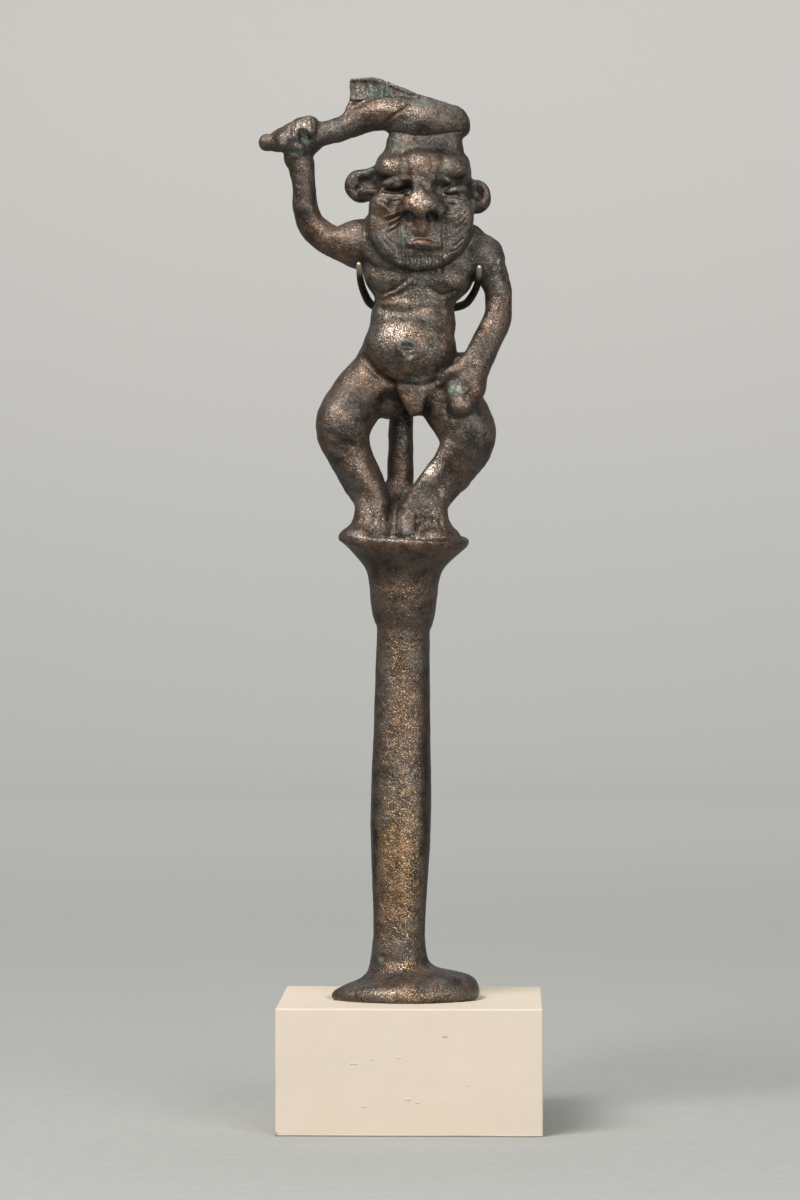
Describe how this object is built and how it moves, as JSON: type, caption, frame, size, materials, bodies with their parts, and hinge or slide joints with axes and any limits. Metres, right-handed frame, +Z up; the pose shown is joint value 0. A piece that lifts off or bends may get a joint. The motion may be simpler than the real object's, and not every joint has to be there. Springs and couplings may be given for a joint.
{
  "type": "bes figure",
  "caption": "Cast bronze figure of the dwarf god Bes with a raised short sword, standing on a papyrus column held by a clawed rod in a small block.",
  "frame": {"origin": "middle of the block's underside", "axes": "+Z up along the column, -Y the way the figure looks, +X to the viewer's right"},
  "size_m": [0.0476, 0.038, 0.1753],
  "materials": {
    "bronze": "dark brown patinated cast bronze, worn to copper on the high places, a little green corrosion in the hollows",
    "mount_metal": "dark painted rod and claws, the claw tips rubbed bright",
    "painted_block": "matte cream paint with faint brush marks over wood, slightly rubbed at the edges"
  },
  "bodies": {
    "root": {"bes_bronze": "bronze", "rod_and_claws": "mount_metal", "mount_block": "painted_block"}
  },
  "joints": []
}
